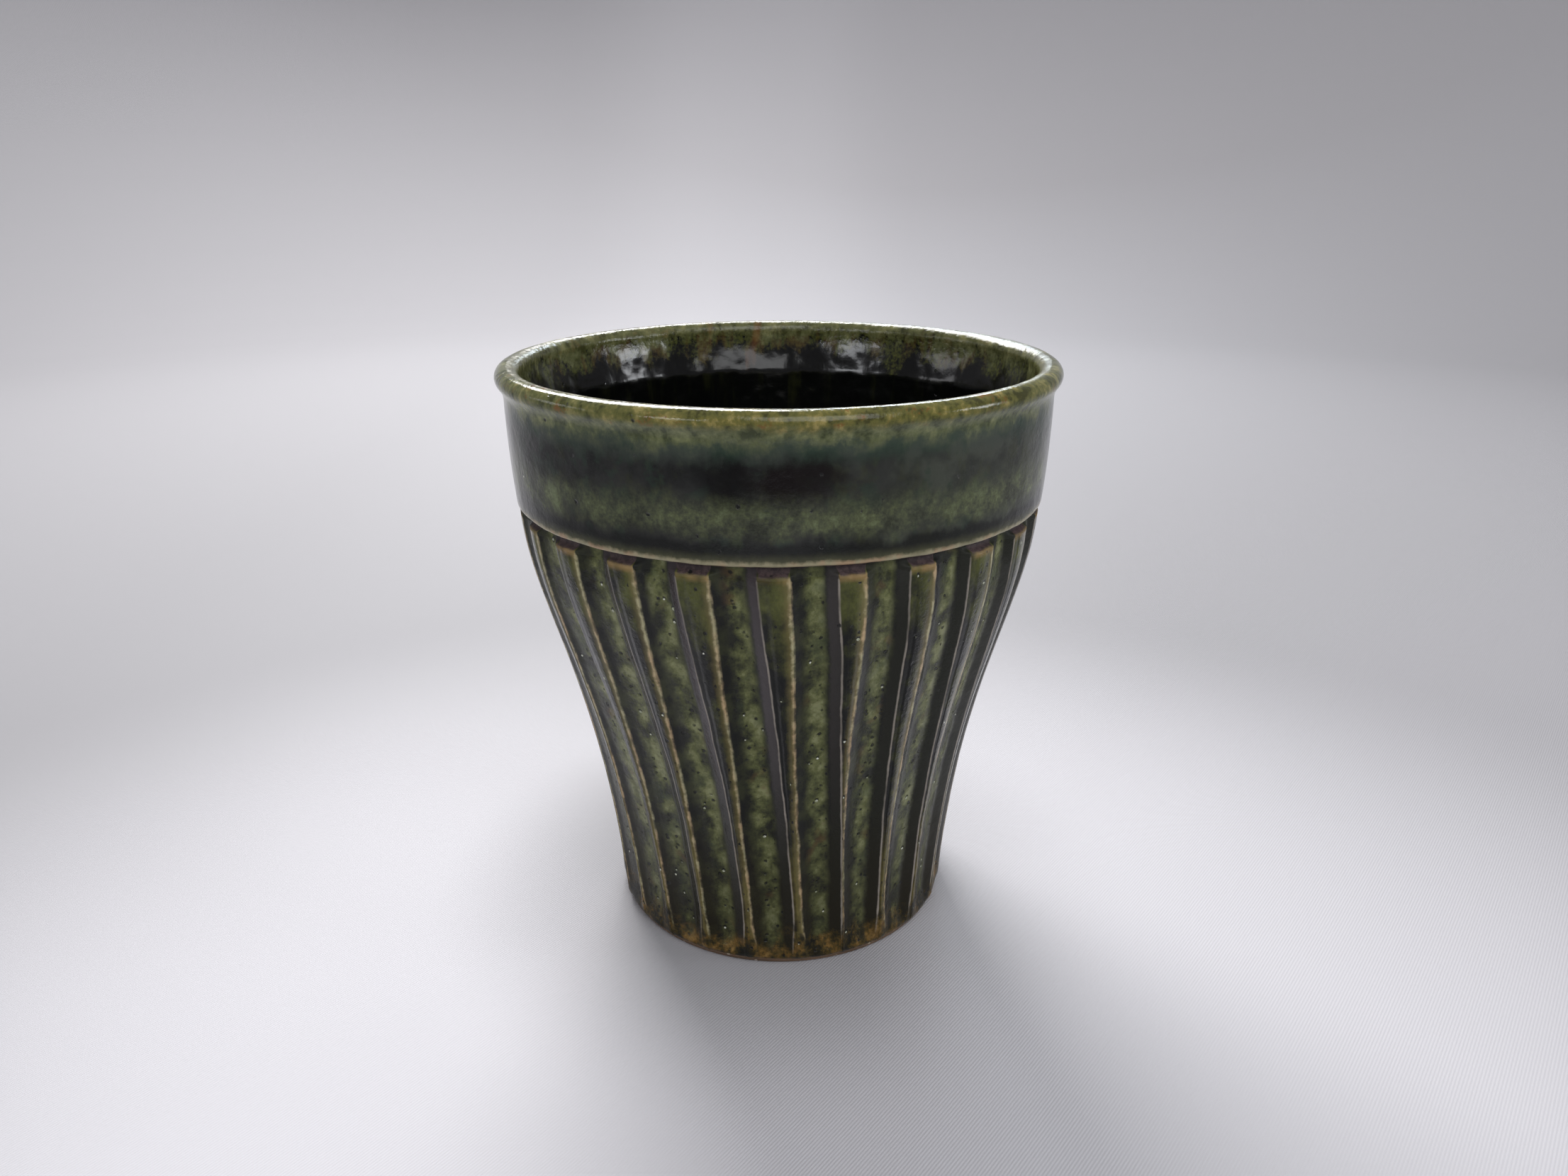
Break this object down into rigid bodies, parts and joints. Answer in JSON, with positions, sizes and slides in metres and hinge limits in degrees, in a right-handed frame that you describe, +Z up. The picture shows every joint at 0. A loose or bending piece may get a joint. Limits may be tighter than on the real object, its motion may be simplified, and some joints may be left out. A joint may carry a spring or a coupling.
{
  "type": "stoneware cup",
  "caption": "Handleless wheel-thrown stoneware cup with a smooth collar, a carved fluted wall and a glossy glaze over the clay inside and out.",
  "frame": {"origin": "middle of the foot, in the plane that rests on the table", "axes": "+Z up along the cup's axis, -Y towards the side seen in the picture"},
  "size_m": [0.0886, 0.0886, 0.095],
  "materials": {
    "clay": "bare fired stoneware",
    "outer_coat": "glossy mottled dark green glaze, thin and brown on the edges",
    "inner_coat": "glossy dark green to black glaze, olive at the lip"
  },
  "bodies": {
    "root": {"clay_body": "clay", "outer_glaze": "outer_coat", "liner_glaze": "inner_coat"}
  },
  "joints": []
}
